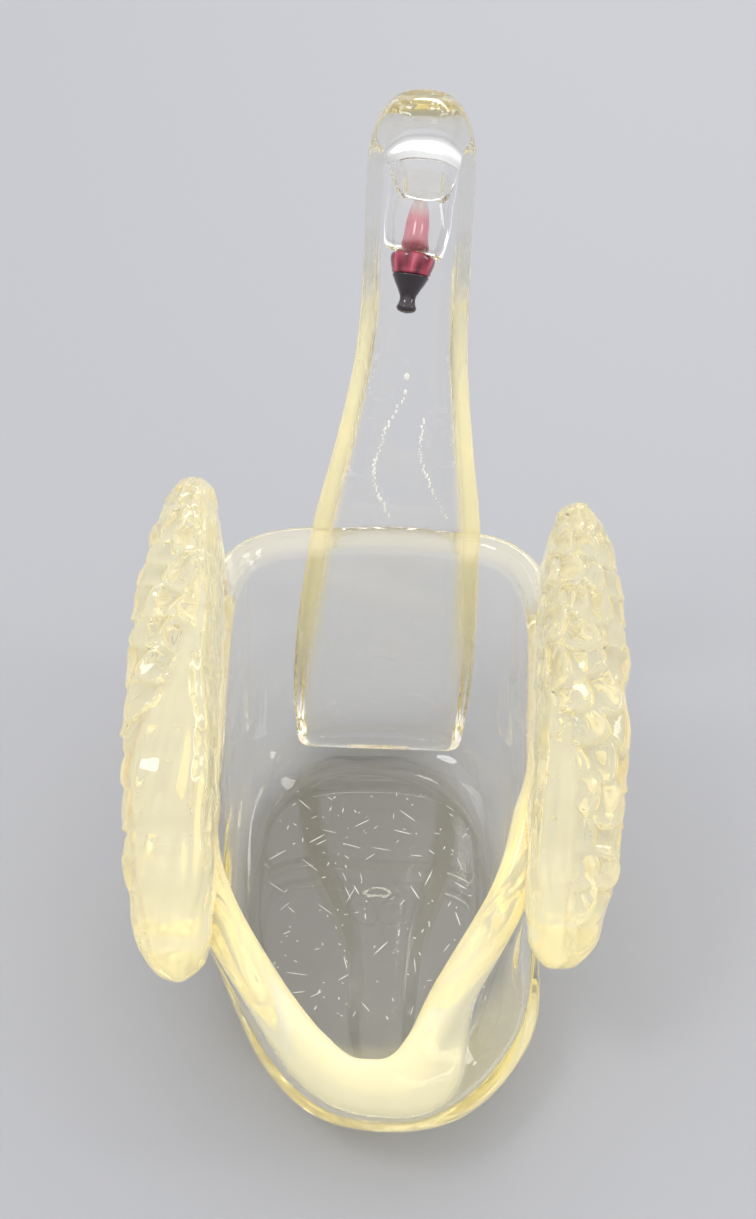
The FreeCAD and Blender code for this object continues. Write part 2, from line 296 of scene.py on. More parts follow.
def plan_level(x, y, z):
    """0 on the bowl's outer face, negative inside: square at the breast, narrowing to a rounded tail."""
    rounding = settle(z, FOOT_ROUNDING)
    turned = smooth_step((z - TURN_START) / TURN_HEIGHT)
    half_width = FOOT_HALF_WIDTH + SIDE_SWELL * rounding
    centre = CENTRE_SHIFT * settle(z, CENTRE_HEIGHT)
    breast = FOOT_REACH + BREAST_SWELL * rounding + BREAST_SLOPE * np.maximum(z, 0.0) - centre
    high_swell = (1.0 - LOW_SWELL_SHARE) * settle(z, TAIL_SWELL_HEIGHT)
    tail = FOOT_REACH + TAIL_SWELL * (LOW_SWELL_SHARE * rounding + high_swell) + centre - TURN_IN * turned
    u = np.abs(x - tail_shift(x, y, turned) * rounding) / half_width + TINY
    v = (y - centre) / np.where(y > centre, breast, tail)
    start, blend = BREAST_BLEND
    ahead = smooth_step((v / np.sqrt(u * u + v * v) + start) / blend)
    blunt = TIP_ROUNDING * turned * (1.0 - ahead)
    u = (np.sqrt(u * u + blunt * blunt) - blunt) / (np.sqrt(1.0 + blunt * blunt) - blunt) + TINY
    breast_power = FOOT_EXPONENT + (BREAST_EXPONENT - FOOT_EXPONENT) * settle(z, CENTRE_HEIGHT)
    tail_power = TAIL_EXPONENTS[0] + (TAIL_EXPONENTS[1] - TAIL_EXPONENTS[0]) * turned
    power = tail_power + (breast_power - tail_power) * ahead
    return (u ** power + (np.abs(v) + TINY) ** power) ** (1.0 / power) - 1.0


def rim_along(y):
    return np.clip((y - RIM_START_Y) / RIM_LENGTH, 0.0, 1.0)


def rim_height(y):
    """Height of the rim's centre line."""
    rise = np.sin(0.5 * np.pi * rim_along(y)) ** RIM_RISE_EXPONENT
    return TAIL_RIM_HEIGHT + (BREAST_RIM_HEIGHT - TAIL_RIM_HEIGHT) * rise - ROLL_AT_BREAST


def above_rim(x, y, z):
    """Distance above the rim's centre line, with the slight waver that a hand-sheared rim keeps."""
    waver = 0.5 * np.sin(0.11 * y + 0.07 * x) + 0.35 * np.sin(0.17 * x + 1.3)
    slope = (rim_height(y + 1.0) - rim_height(y - 1.0)) / 2.0
    return (z - rim_height(y) - waver) / np.sqrt(1.0 + slope * slope)


def bowl_outside(x, y, z):
    """Distance outside the bowl's outer face, with the faint ripple of hand work."""
    ripple = 0.14 * np.sin(0.13 * x + 0.21 * z + 0.6) * np.sin(0.17 * y - 0.09 * z)
    ripple += 0.05 * np.sin(0.37 * z + 0.1 * x)
    return as_distance(plan_level, x, y, z) + ripple


def rim_roll(outside, over, y):
    """The thick rounded rim, thickest at the tail."""
    radius = ROLL_AT_TAIL + (ROLL_AT_BREAST - ROLL_AT_TAIL) * rim_along(y) ** 2
    return np.sqrt((outside + radius - ROLL_PROUD) ** 2 + over * over) - radius


def pontil_dimple(x, y, z):
    """The shallow round dimple ground under the base."""
    centre_z = PONTIL_DEPTH - PONTIL_RADIUS
    return np.sqrt((x - PONTIL_X) ** 2 + y * y + (z - centre_z) ** 2) - PONTIL_RADIUS


def bowl_parts(x, y, z):
    """The bowl, and the bowl with its hollow filled."""
    outside = bowl_outside(x, y, z)
    over = above_rim(x, y, z)
    roll = rim_roll(outside, over, y)
    block = smooth_max(outside, -z, FOOT_EDGE)
    block = smooth_max(block, -pontil_dimple(x, y, z), 0.4)
    block = smooth_max(block, over, 1.0)
    hollow = smooth_max(outside + WALL, BASE_THICKNESS - z, FLOOR_FILLET)
    walls = smooth_max(block, -hollow, 0.6)
    return smooth_min(walls, roll, ROLL_MELT), smooth_min(block, roll, ROLL_MELT)


def bowl_field(x, y, z):
    return bowl_parts(x, y, z)[0]


def cut_to_bowl(field, x, y, z):
    """A neighbour's field, ended just inside the bowl's face, where the two pieces are melted together."""
    return smooth_max(field, -(bowl_parts(x, y, z)[1] + SEAM_OVERLAP), SEAM_EDGE)


# ---- neck and head ----

def lean(z):
    """How far the neck leans sideways at a height."""
    return NECK_OFFSET + NECK_LEAN * smooth_step(z / NECK_LEAN_HEIGHT)


def arch_point(degrees):
    angle = math.radians(degrees)
    return (ARCH_CENTRE[0] + ARCH_RADIUS * math.cos(angle), ARCH_CENTRE[1] + ARCH_RADIUS * math.sin(angle))


def flowing(rows, per_span):
    """Catmull-Rom curve through the rows."""
    rows = np.array(rows, float)
    padded = np.vstack([2.0 * rows[0] - rows[1], rows, 2.0 * rows[-1] - rows[-2]])
    t = np.linspace(0.0, 1.0, per_span, endpoint=False)[:, None]
    spans = []
    for i in range(len(rows) - 1):
        a, b, c, d = padded[i:i + 4]
        spans.append(0.5 * (2.0 * b + (c - a) * t + (2.0 * a - 5.0 * b + 4.0 * c - d) * t ** 2
                            + (3.0 * b - a - 3.0 * c + d) * t ** 3))
    return np.vstack(spans + [rows[-1:]])


def neck_path():
    """Rows of y, z, half width and half thickness along the strap's centre line."""
    rows = list(NECK_STATIONS)
    rows += [(*arch_point(degrees), width, thick) for degrees, width, thick in ARCH_STATIONS]
    path = flowing(rows, PATH_STEPS)
    path[:, 2:] *= 0.5
    return path


NECK = neck_path()
RISING_NECK = NECK[:PATH_STEPS * (len(NECK_STATIONS) - 1) + 1]
HEAD_DIRECTION = np.array([HEAD_SIDEWAYS, -math.cos(HEAD_DROP), -math.sin(HEAD_DROP)])
HEAD_DIRECTION /= np.linalg.norm(HEAD_DIRECTION)
HEAD_START = np.array([lean(NECK[-1, 1]), NECK[-1, 0], NECK[-1, 1]])
FACE_CENTRE = HEAD_START + HEAD_DIRECTION * HEAD_LENGTH


def along_head(x, y, z):
    """Distance along the head's line from its start, and offsets across it and through it."""
    across_axis = np.array([1.0, 0.0, 0.0]) - HEAD_DIRECTION[0] * HEAD_DIRECTION
    across_axis /= np.linalg.norm(across_axis)
    through_axis = np.cross(HEAD_DIRECTION, across_axis)
    d = [x - HEAD_START[0], y - HEAD_START[1], z - HEAD_START[2]]
    return [sum(d[i] * axis[i] for i in range(3)) for axis in (HEAD_DIRECTION, across_axis, through_axis)]


def past_joint(x, y, z):
    """Distance past the slanting joint between the strap and the casing."""
    along, _, through = along_head(x, y, z)
    return (along - JOINT_SLOPE * through) / math.hypot(1.0, JOINT_SLOPE)


def strap_section(across, depth, half_width, half_thick):
    """Distance outside a section that is flat in front, where the depth is 0, and crowned behind."""
    u = across / half_width + TINY
    v = np.maximum(depth, 0.0) / (2.0 * half_thick) + TINY
    slope = np.hypot(NECK_CROWN * u ** (NECK_CROWN - 1.0) / half_width, v / half_thick)
    crown = (u ** NECK_CROWN + v * v - 1.0) / np.maximum(slope, 0.03)
    return smooth_max(crown, -depth, NECK_FRONT_EDGE)


def oval_section(across, through, half_width, half_depth):
    """Distance outside a squarish oval."""
    u = np.abs(across) / half_width + TINY
    v = np.abs(through) / half_depth + TINY
    power = HEAD_EXPONENT
    total = u ** power + v ** power
    slope = np.hypot(u ** (power - 1.0) / half_width, v ** (power - 1.0) / half_depth)
    slope = total ** (1.0 / power - 1.0) * slope
    return (total ** (1.0 / power) - 1.0) / np.maximum(slope, 1e-3)


def beside_path(y, z):
    """The gap to the strap's path, the offset out through the strap, its half width and half thickness there,
    and the distance before its lower end."""
    ends_y, ends_z = NECK[:, 0], NECK[:, 1]
    step_y, step_z = np.diff(ends_y), np.diff(ends_z)
    length = np.sqrt(step_y ** 2 + step_z ** 2)
    best = np.full(y.shape, 1e9)
    out, before = np.zeros(y.shape), np.zeros(y.shape)
    half_width, half_thick = np.ones(y.shape), np.ones(y.shape)
    for i in range(len(step_y)):
        dy, dz = y - ends_y[i], z - ends_z[i]
        along = (dy * step_y[i] + dz * step_z[i]) / length[i]
        t = np.clip(along / length[i], 0.0, 1.0)
        gap = np.hypot(dy - t * step_y[i], dz - t * step_z[i])
        near = gap < best
        best = np.where(near, gap, best)
        out = np.where(near, (dy * step_z[i] - dz * step_y[i]) / length[i], out)
        half_width = np.where(near, NECK[i, 2] + t * (NECK[i + 1, 2] - NECK[i, 2]), half_width)
        half_thick = np.where(near, NECK[i, 3] + t * (NECK[i + 1, 3] - NECK[i, 3]), half_thick)
        if i == 0:
            before = -along
    return best, out, half_width, half_thick, before


def neck_field(x, y, z):
    """The strap, rounded off at its foot and ended at the slanting joint."""
    shape = np.shape(y)
    x, y, z = np.ravel(x), np.ravel(y), np.ravel(z)
    gap, out, half_width, half_thick, before = beside_path(y, z)
    strap = strap_section(np.abs(x - lean(z)), out + half_thick, half_width, half_thick)
    strap = smooth_max(strap, np.where(z < NECK_FOOT_TOP, before, INSIDE), NECK_FOOT_EDGE)
    at_head = (z > HEAD_PART_BOTTOM) & (y < ARCH_CENTRE[0])
    strap = smooth_max(strap, np.where(at_head, past_joint(x, y, z), INSIDE), SEAM_EDGE)
    past_ends = (gap > np.abs(out) + 1e-6) & (gap > 12.0)
    strap = np.where(past_ends, np.maximum(strap, gap - 6.0), strap)
    return strap.reshape(shape)


def neck_cut(x, y, z):
    return cut_to_bowl(neck_field(x, y, z), x, y, z)


def head_field(x, y, z):
    """The clear casing: it starts with the strap's section, turns into an oval and ends in a cut face."""
    along, across, through = along_head(x, y, z)
    part = np.clip(along / HEAD_LENGTH, 0.0, 1.15)
    start_width, start_depth = ARCH_STATIONS[-1][1:]
    half_width = 0.5 * (start_width - HEAD_TAPER * part ** 3)
    half_depth = 0.5 * (start_depth + HEAD_SWELL * np.sin(np.pi * part) - HEAD_TAPER * part ** 3)
    oval = oval_section(across, through, half_width, half_depth)
    strap = strap_section(np.abs(across), through + half_depth, half_width, half_depth)
    body = strap + (oval - strap) * smooth_step(along / (HEAD_OVAL_FROM * HEAD_LENGTH))
    body = smooth_max(body, along - HEAD_LENGTH - HEAD_CUT_SLOPE * across, HEAD_CUT_EDGE)
    return smooth_max(body, -past_joint(x, y, z) - SEAM_OVERLAP, SEAM_EDGE)


# ---- wings ----

def hashed(row, column, seed):
    """A fixed pseudo-random number from 0 to 1 for each scale."""
    value = np.sin(row * 12.9898 + column * 78.233 + 3.7 * seed) * 43758.5453
    return value - np.floor(value)


def one_scale(across, down, row, column, seed):
    """The relief of one scale: a rounded lip at its tip, thinning away from it."""
    chance = hashed(row, column, seed)
    stagger = 0.5 * np.mod(row, 2.0)
    a = 2.0 * (across - stagger - column - 0.5) - SCALE_JITTER * (chance - 0.5)
    b = down - row - SCALE_JITTER * (hashed(column, row, seed) - 0.5)
    from_tip = b + SCALE_TIP - SCALE_TIP_ROUNDING * a * a
    lip = smooth_step(from_tip / SCALE_LIP)
    scale = lip * (1.0 - SCALE_THINNING * np.clip(from_tip, 0.0, 1.6)) * (0.8 + 0.35 * chance)
    return scale * smooth_step((1.25 - np.abs(a)) / 0.4)


def scale_relief(along, upward, seed):
    """Scales laid like shingles, tips down: 0 in the grooves, about 1 on a tip."""
    along = along + waves(WAVES_ALONG, upward, seed)
    upward = upward + waves(WAVES_AROUND, along, seed)
    across, down = along / SCALE_WIDTH, upward / SCALE_ROW
    height = np.zeros_like(across)
    for row_step in (-1, 0, 1):
        row = np.floor(down) + row_step
        nearest = np.floor(across - 0.5 * np.mod(row, 2.0))
        for column_step in (-1, 0, 1):
            height = np.maximum(height, one_scale(across, down, row, nearest + column_step, seed))
    return height


def wing_frame(side, x, y, z):
    """Coordinates of a point on a wing: part of its length, outward, upward, and distance along."""
    (near_y, near_z), (far_y, far_z) = WING_ENDS[side]
    length = math.hypot(far_y - near_y, far_z - near_z)
    ahead_y, ahead_z = (far_y - near_y) / length, (far_z - near_z) / length
    along = (y - near_y) * ahead_y + (z - near_z) * ahead_z
    upward = (z - near_z) * ahead_y - (y - near_y) * ahead_z
    part = along / length
    held = np.clip(part, 0.0, 1.0)
    sign = -1.0 if side == "left" else 1.0
    outward = sign * x - (WING_STANDOFF + WING_SPREAD * held + WING_BOW * held * (1.0 - held))
    return part, outward, upward, along


def wing_half_depth(part):
    held = np.clip(part, 0.0, 1.0)
    return WING_HALF_DEPTH - WING_DEPTH_LOSS * held + WING_BELLY * held * (1.0 - held)


def wing_half_height(part):
    held = np.clip(part, 0.0, 1.0)
    return WING_HALF_HEIGHT * (1.0 + WING_HEIGHT_GAIN * held * (WING_HEIGHT_PEAK - held))


def wing_level(side):
    """The level function of a wing's smooth pad, 0 on its surface."""
    def level(x, y, z):
        part, outward, upward, _ = wing_frame(side, x, y, z)
        outline = (np.abs(upward) / wing_half_height(part) + TINY) ** WING_OUTLINE
        outline += (np.abs(2.0 * part - 1.0) + TINY) ** WING_OUTLINE
        near = 1.0 - smooth_step((part - BLUNTNESS_BLEND[0]) / BLUNTNESS_BLEND[1])
        bluntness = BREAST_END_BLUNTNESS + (TAIL_END_BLUNTNESS - BREAST_END_BLUNTNESS) * near
        through = (np.abs(outward) / wing_half_depth(part) + TINY) ** WING_SECTION
        return (through + outline ** (bluntness / WING_OUTLINE)) ** (1.0 / WING_SECTION) - 1.0
    return level


def wing_relief(side, x, y, z):
    """Depth pressed into the wing: feather scales over its top and outer side, long streaks inside.
    Also how much of a scale, and of the groove between scales, a point has."""
    part, outward, upward, along = wing_frame(side, x, y, z)
    angle = np.arctan2(upward / wing_half_height(part), outward / wing_half_depth(part))
    around = 16.0 * angle + 3.0 * np.sin(2.0 * angle)
    seed = WING_SEED[side]
    turned_along = along * math.cos(SCALE_TURN) - around * math.sin(SCALE_TURN)
    turned_around = along * math.sin(SCALE_TURN) + around * math.cos(SCALE_TURN)
    scales = scale_relief(turned_along, turned_around, seed)
    reach = SCALES_REACH[side] + SCALES_RISE * smooth_step((part - 0.35) / 0.3)
    scaled = smooth_step((reach - angle) / 0.45) * smooth_step((angle + 1.3) / 0.4)
    streaks = 0.5 + 0.5 * np.sin(STREAK_RATE * around + waves(STREAK_WAVES, along, seed))
    inner = smooth_step((angle - 1.75) / 0.5)
    fade = smooth_step((part - 0.05) / 0.12)
    depth = SCALE_RELIEF * scaled * (0.55 - scales) - STREAK_RELIEF * inner * (1.0 - scaled) * streaks
    return fade * depth, scaled * scales, scaled * np.clip(1.0 - scales, 0.0, 1.0)


def wing_field(side, x, y, z):
    """The pad with its relief and the slight lumps of hand work."""
    _, outward, upward, along = wing_frame(side, x, y, z)
    seed = WING_SEED[side]
    pad = as_distance(wing_level(side), x, y, z)
    lumps = 0.4 * np.sin(0.29 * along + 0.2 * upward + seed) * np.sin(0.23 * upward - 0.11 * along + 1.0)
    lumps += 0.22 * np.sin(0.55 * along + 0.5 * outward) * np.sin(0.6 * outward - 0.3 * along + seed)
    return pad + wing_relief(side, x, y, z)[0] + lumps


def wing_cut(side):
    return lambda x, y, z: cut_to_bowl(wing_field(side, x, y, z), x, y, z)


# ---- meshing ----

CORNERS = [(i, j, k) for i in (0, 1) for j in (0, 1) for k in (0, 1)]
EDGES = [(a, b) for a in range(8) for b in range(a + 1, 8)
         if sum(abs(p - q) for p, q in zip(CORNERS[a], CORNERS[b])) == 1]


def net_vertices(values, cells, axes):
    """One vertex per cell that the surface crosses: the mean of its edges' crossings."""
    i, j, k = cells
    at = [values[i + a, j + b, k + c] for a, b, c in CORNERS]
    total = np.zeros((len(i), 3))
    count = np.zeros(len(i))
    for a, b in EDGES:
        crosses = (at[a] < 0) != (at[b] < 0)
        t = np.where(crosses, at[a] / np.where(crosses, at[a] - at[b], 1.0), 0.0)
        for axis in range(3):
            step = CORNERS[b][axis] - CORNERS[a][axis]
            total[:, axis] += np.where(crosses, CORNERS[a][axis] + t * step, 0.0)
        count += crosses
    total /= count[:, None]
    step = axes[0][1] - axes[0][0]
    base = np.stack([axes[n][c] for n, c in enumerate(cells)], 1)
    return base + total * step


def net_faces(inside, index):
    """One quad round each grid edge that the surface crosses."""
    faces = []
    for axis in range(3):
        b, c = (axis + 1) % 3, (axis + 2) % 3
        low = [slice(None)] * 3
        high = [slice(None)] * 3
        low[axis], high[axis] = slice(0, -1), slice(1, None)
        low[b] = high[b] = slice(1, -1)
        low[c] = high[c] = slice(1, -1)
        start, end = inside[tuple(low)], inside[tuple(high)]
        places = np.argwhere(start != end)
        flips = start[tuple(places.T)]
        offset = np.zeros(3, int)
        offset[b] = offset[c] = 1
        cells = places + offset
        ring = []
        for sb, sc in ((-1, -1), (0, -1), (0, 0), (-1, 0)):
            shift = np.zeros(3, int)
            shift[b], shift[c] = sb, sc
            ring.append(index[tuple((cells + shift).T)])
        quads = np.stack(ring, 1)
        faces.append(np.where(flips[:, None], quads, quads[:, ::-1]))
    return np.vstack(faces)


def gradient(field, p, h=0.15):
    columns = []
    for axis in range(3):
        step = np.zeros(3)
        step[axis] = h
        ahead, behind = p + step, p - step
        columns.append((field(*ahead.T) - field(*behind.T)) / (2.0 * h))
    return np.stack(columns, 1)


def onto_surface(field, p, reach):
    """Moves the points onto the field's zero level."""
    value = field(*p.T)
    slope = gradient(field, p)
    size = np.maximum((slope ** 2).sum(1), 0.2)
    move = slope * (value / size)[:, None]
    length = np.linalg.norm(move, axis=1)[:, None]
    return p - move * np.minimum(1.0, reach / np.maximum(length, 1e-9))


def spread(p, faces):
    """Each vertex moved towards the mean of its neighbours."""
    total = np.zeros_like(p)
    count = np.zeros(len(p))
    for a, b in ((0, 1), (1, 2), (2, 3), (3, 0)):
        for one, other in ((faces[:, a], faces[:, b]), (faces[:, b], faces[:, a])):
            for axis in range(3):
                total[:, axis] += np.bincount(one, p[other, axis], len(p))
            count += np.bincount(one, minlength=len(p))
    return 0.4 * p + 0.6 * total / count[:, None]


def add_object(name, data):
    thing = bpy.data.objects.new(name, data)
    bpy.context.scene.collection.objects.link(thing)
    return thing


def mesh_field(name, field, low, high, step, rounds=3):
    """The closed mesh of a field's zero level inside a box, in metres."""
    axes = [np.arange(a, b + step, step) for a, b in zip(low, high)]
    x, y, z = np.meshgrid(*axes, indexing="ij")
    values = field(x, y, z)
    inside = values < 0
    count = np.zeros(tuple(n - 1 for n in inside.shape), np.int8)
    for a, b, c in CORNERS:
        nx, ny, nz = count.shape
        count += inside[a:a + nx, b:b + ny, c:c + nz]
    cells = np.nonzero((count > 0) & (count < 8))
    index = np.full(count.shape, -1)
    index[cells] = np.arange(len(cells[0]))
    p = net_vertices(values, cells, axes)
    faces = net_faces(inside, index)
    for _ in range(rounds):
        p = onto_surface(field, p, 0.7 * step)
        p = spread(p, faces)
    for _ in range(rounds):
        p = onto_surface(field, p, 0.7 * step)
    mesh = bpy.data.meshes.new(name)
    mesh.from_pydata((p * MM).tolist(), [], faces.tolist())
    mesh.polygons.foreach_set("use_smooth", [True] * len(mesh.polygons))
    mesh.update()
    return add_object(name, mesh)


def add_built(name, bm, smooth=True):
    """The object of a form built face by face."""
    for face in bm.faces:
        face.smooth = smooth
    mesh = bpy.data.meshes.new(name)
    bm.to_mesh(mesh)
    bm.free()
    return add_object(name, mesh)


def turned_mesh(name, profile, origin, direction, around=48):
    """A closed turned form through (distance along, radius) points."""
    rows = flowing(profile, 8)
    rows[:, 1] = np.maximum(rows[:, 1], 0.0)
    side = np.cross(direction, [0.0, 0.0, 1.0])
    side /= np.linalg.norm(side)
    other = np.cross(direction, side)
    bm = bmesh.new()
    rings = []
    for along, radius in rows[1:-1]:
        ring = []
        for i in range(around):
            angle = 2.0 * math.pi * i / around
            offset = (side * math.cos(angle) + other * math.sin(angle)) * radius
            ring.append(bm.verts.new((origin + direction * along + offset) * MM))
        rings.append(ring)
    ends = [bm.verts.new((origin + direction * rows[n, 0]) * MM) for n in (0, -1)]
    for lower, upper in zip(rings, rings[1:]):
        for i in range(around):
            j = (i + 1) % around
            bm.faces.new((lower[i], lower[j], upper[j], upper[i]))
    for ring, end in ((rings[0], ends[0]), (rings[-1], ends[1])):
        for i in range(around):
            bm.faces.new((ring[i], ring[(i + 1) % around], end))
    bmesh.ops.recalc_face_normals(bm, faces=bm.faces)
    return add_built(name, bm)


def add_blob(bm, spot, half_sizes, fineness, heading=0.0):
    """An ellipsoid, placed and sized in millimetres."""
    place = Matrix.Translation(Vector(spot) * MM) @ Matrix.Rotation(heading, 4, "Z")
    stretch = Matrix.Diagonal((*[size * MM for size in half_sizes], 1.0))
    bmesh.ops.create_icosphere(bm, subdivisions=fineness, radius=1.0, matrix=place @ stretch)


# ---- materials ----

def new_material(name):
    """A material, its node tree and its main shader."""
    material = bpy.data.materials.new(name)
    material.use_nodes = True
    return material, material.node_tree, material.node_tree.nodes["Principled BSDF"]


def feed(tree, node, inputs):
    """Gives each input a constant or another node's output."""
    for name, value in inputs.items():
        if isinstance(value, bpy.types.NodeSocket):
            tree.links.new(value, node.inputs[name])
        else:
            node.inputs[name].default_value = value


def node_output(tree, kind, output, inputs, **settings):
    """Adds a node and gives its output of that name."""
    node = tree.nodes.new(kind)
    for name, value in settings.items():
        setattr(node, name, value)
    feed(tree, node, inputs)
    return node.outputs[output]


def stored(tree, name):
    """The amount stored under a name at each point of the mesh."""
    return node_output(tree, "ShaderNodeAttribute", "Fac", {}, attribute_name=name)


def product(tree, a, b):
    return node_output(tree, "ShaderNodeMath", "Value", {0: a, 1: b}, operation="MULTIPLY")


def mixed(tree, factor, a, b):
    inputs = {"Factor": factor, "A": a, "B": b}
    return node_output(tree, "ShaderNodeMix", "Result", inputs, data_type="RGBA")


def ramped(tree, factor, stops):
    """A colour ramp through (position, colour) stops."""
    node = tree.nodes.new("ShaderNodeValToRGB")
    elements = node.color_ramp.elements
    for element, (position, colour) in zip(elements, (stops[0], stops[-1])):
        element.position = position
        element.color = colour
    for position, colour in stops[1:-1]:
        elements.new(position).color = colour
    tree.links.new(factor, node.inputs["Fac"])
    return node.outputs["Color"]


def cream_glass_with_painted_glow(name, density):
    """Clear glass that turns yellow over a long path. Where its stored cream amount is high it is creamy and
    less clear, and it is given a painted glow; the cream stands partly for its tint through thick glass and
    partly for light carried along it. It holds brown residue in patches where "crevice" is high."""
    material, tree, shader = new_material(name)
    cream_and_painted_glow = stored(tree, "cream_and_painted_glow")
    noise = node_output(tree, "ShaderNodeTexNoise", "Fac", {"Scale": 210.0, "Detail": 4.0})
    patches = {"Value": noise, "From Min": 0.42, "From Max": 0.66}
    patches = node_output(tree, "ShaderNodeMapRange", "Result", patches)
    residue = product(tree, stored(tree, "crevice"), patches)
    clearness = {"Value": cream_and_painted_glow, "To Min": 1.0, "To Max": CREAM_CLEARNESS}
    feed(tree, shader, {
        "Base Color": mixed(tree, residue, mixed(tree, cream_and_painted_glow, WHITE, CREAM), RESIDUE),
        "Transmission Weight": node_output(tree, "ShaderNodeMapRange", "Result", clearness),
        "Emission Color": PAINTED_GLOW_COLOUR,
        # painted glow on the creamy parts
        "Emission Strength": product(tree, cream_and_painted_glow, PAINTED_GLOW_STRENGTH),
        "Roughness": 0.01,
        "IOR": 1.5,
    })
    absorbed = {"Color": STRAW_ABSORBED, "Density": density}
    volume = node_output(tree, "ShaderNodeVolumeAbsorption", "Volume", absorbed)
    tree.links.new(volume, tree.nodes["Material Output"].inputs["Volume"])
    return material


def red_glass():
    """Red glass that pales with "shade"; the pale end is a painted glow, standing in for light through thin
    red.
    """
    material, tree, shader = new_material("red_glass")
    colour = ramped(tree, stored(tree, "shade"), RED_STOPS)
    feed(tree, shader, {"Base Color": colour, "Roughness": 0.08, "Coat Weight": 0.6})
    return material


def black_glass():
    material, tree, shader = new_material("black_glass")
    noise = node_output(tree, "ShaderNodeTexNoise", "Fac", {"Scale": 180.0})
    colour = ramped(tree, noise, BLACK_STOPS)
    feed(tree, shader, {"Base Color": colour, "Roughness": 0.07, "Coat Weight": 0.5})
    return material


def bright_speck(name, colour, roughness, glow_colour, glow):
    """The white look of a bubble or a scratch inside clear glass, with a painted glow that stands in for the
    light it scatters.
    """
    material, tree, shader = new_material(name)
    feed(tree, shader, {
        "Base Color": colour,
        "Roughness": roughness,
        "Emission Color": glow_colour,
        "Emission Strength": glow,
    })
    return material


# ---- pieces ----

def mark(piece, name, amount_at):
    """Stores an amount from 0 to 1 at each point."""
    mesh = piece.data
    spots = np.empty(3 * len(mesh.vertices))
    mesh.vertices.foreach_get("co", spots)
    x, y, z = spots.reshape(-1, 3).T / MM
    layer = mesh.attributes.new(name, "FLOAT", "POINT")
    layer.data.foreach_set("value", np.clip(amount_at(x, y, z), 0.0, 1.0))


def near_bowl(x, y, z):
    """1 where another piece's open face runs into the bowl, 0 on the joint itself."""
    gap = bowl_parts(x, y, z)[1]
    return np.where(gap > 0.0, smooth_step(1.0 - gap / 2.0), 0.0)


def neck_crevices(x, y, z):
    return 0.6 * near_bowl(x, y, z)


def wing_crevices(side):
    """Residue beside the bowl, and in the grooves of the outer side."""
    def amount(x, y, z):
        outward = wing_frame(side, x, y, z)[1]
        scales = wing_relief(side, x, y, z)[1]
        grooves = 0.6 * smooth_step((0.3 - scales) / 0.2) * smooth_step((scales - 0.02) / 0.05)
        return np.maximum(0.8 * near_bowl(x, y, z), grooves * smooth_step((outward + 4.0) / 4.0))
    return amount


def bowl_crevices(x, y, z):
    """Residue on the bowl beside the wings."""
    gap = np.minimum(wing_field("left", x, y, z), wing_field("right", x, y, z))
    return np.where(gap > 0.0, 0.7 * smooth_step(1.0 - gap / 1.6), 0.0)


def bowl_cream_and_painted_glow(x, y, z):
    """Cream with a painted glow, standing in for light carried round the thick rim: strongest along the rim,
    and a band low round the outside of the tail.
    """
    outside = bowl_outside(x, y, z)
    roll = rim_roll(outside, above_rim(x, y, z), y)
    rim = smooth_step(1.0 - roll / 1.5) * (0.35 + 0.65 * smooth_step((40.0 - y) / 60.0))
    right = smooth_step(x / SIDES_BLEND + 0.5)
    low = smooth_step((15.0 + 7.0 * right - z) / 7.0) * smooth_step((-y - 15.0) / 25.0)
    return np.maximum(rim, 0.75 * low * smooth_step(1.0 + outside / 2.0))


def wing_cream_and_painted_glow(side):
    """Cream with a painted glow where the wing is thick, clearer and dimmer in the grooves between its
    scales, which is painted shade.
    """
    def amount(x, y, z):
        thick = 0.62 + 0.33 * smooth_step(1.0 - wing_frame(side, x, y, z)[0] / 0.35)
        return thick * (1.0 - 0.8 * wing_relief(side, x, y, z)[2])
    return amount


def neck_cream_and_painted_glow(x, y, z):
    """Cream with a painted glow along the strap's two edges, standing in for light refracted along them,
    fading out towards the top and the foot.
    """
    half_width = np.interp(z, RISING_NECK[:, 1], RISING_NECK[:, 2])
    edge = smooth_step((np.abs(x - lean(z)) / half_width - 0.66) / 0.2)
    return edge * (1.0 - smooth_step((z - 112.0) / 40.0)) * smooth_step((z - 20.0) / 40.0)


def core_shade(x, y, z):
    """1 deep in the casing, where the red is thin and is painted pale as if light glowed through it, and near
    0 below it, with lengthwise streaks.
    """
    along, across, through = along_head(x, y, z)
    along = along - HEAD_LENGTH
    turn = np.arctan2(across, through)
    streaks = 0.17 * np.sin(7.0 * turn + 0.6 * along) + 0.1 * np.sin(13.0 * turn + 1.0)
    pale = 0.6 * smooth_step((-along - 0.5) / 3.0) + 0.3 * smooth_step((-along - 6.5) / 3.5)
    return 0.1 + pale + (0.12 + streaks) * smooth_step((along + 1.0) / 2.0)


def finish_detail(piece, material):
    """A detail inside the clear glass, which replaces no CAD node."""
    piece.data.materials.append(material)
    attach(piece, "root")


def neck_middle(z):
    """The y of the strap's middle at a height."""
    return np.interp(z, RISING_NECK[:, 1], RISING_NECK[:, 0])


def make_seeds():
    """Strings of tiny bubbles drawn out inside the neck."""
    bm = bmesh.new()
    for n, string in enumerate(SEED_STRINGS):
        for i, (x, z) in enumerate(flowing(string, SEED_STEPS)[:-1]):
            y = neck_middle(z) + 0.8 * math.sin(0.9 * i + n)
            radius = 0.16 + 0.16 * (0.5 + 0.5 * math.sin(12.9 * i + n))
            add_blob(bm, (x + 0.3 * math.sin(2.3 * i), y, z), (radius, radius, 1.9 * radius), 2)
    for x, z, radius in SEED_BLOBS:
        add_blob(bm, (x, neck_middle(z), z), (radius, radius, 1.6 * radius), 3)
    # white bubbles with a painted glow
    look = bright_speck("bubble", (0.95, 0.95, 0.93, 1.0), 0.12, (1.0, 1.0, 0.97, 1.0), 0.3)
    finish_detail(add_built("neck_seeds", bm), look)


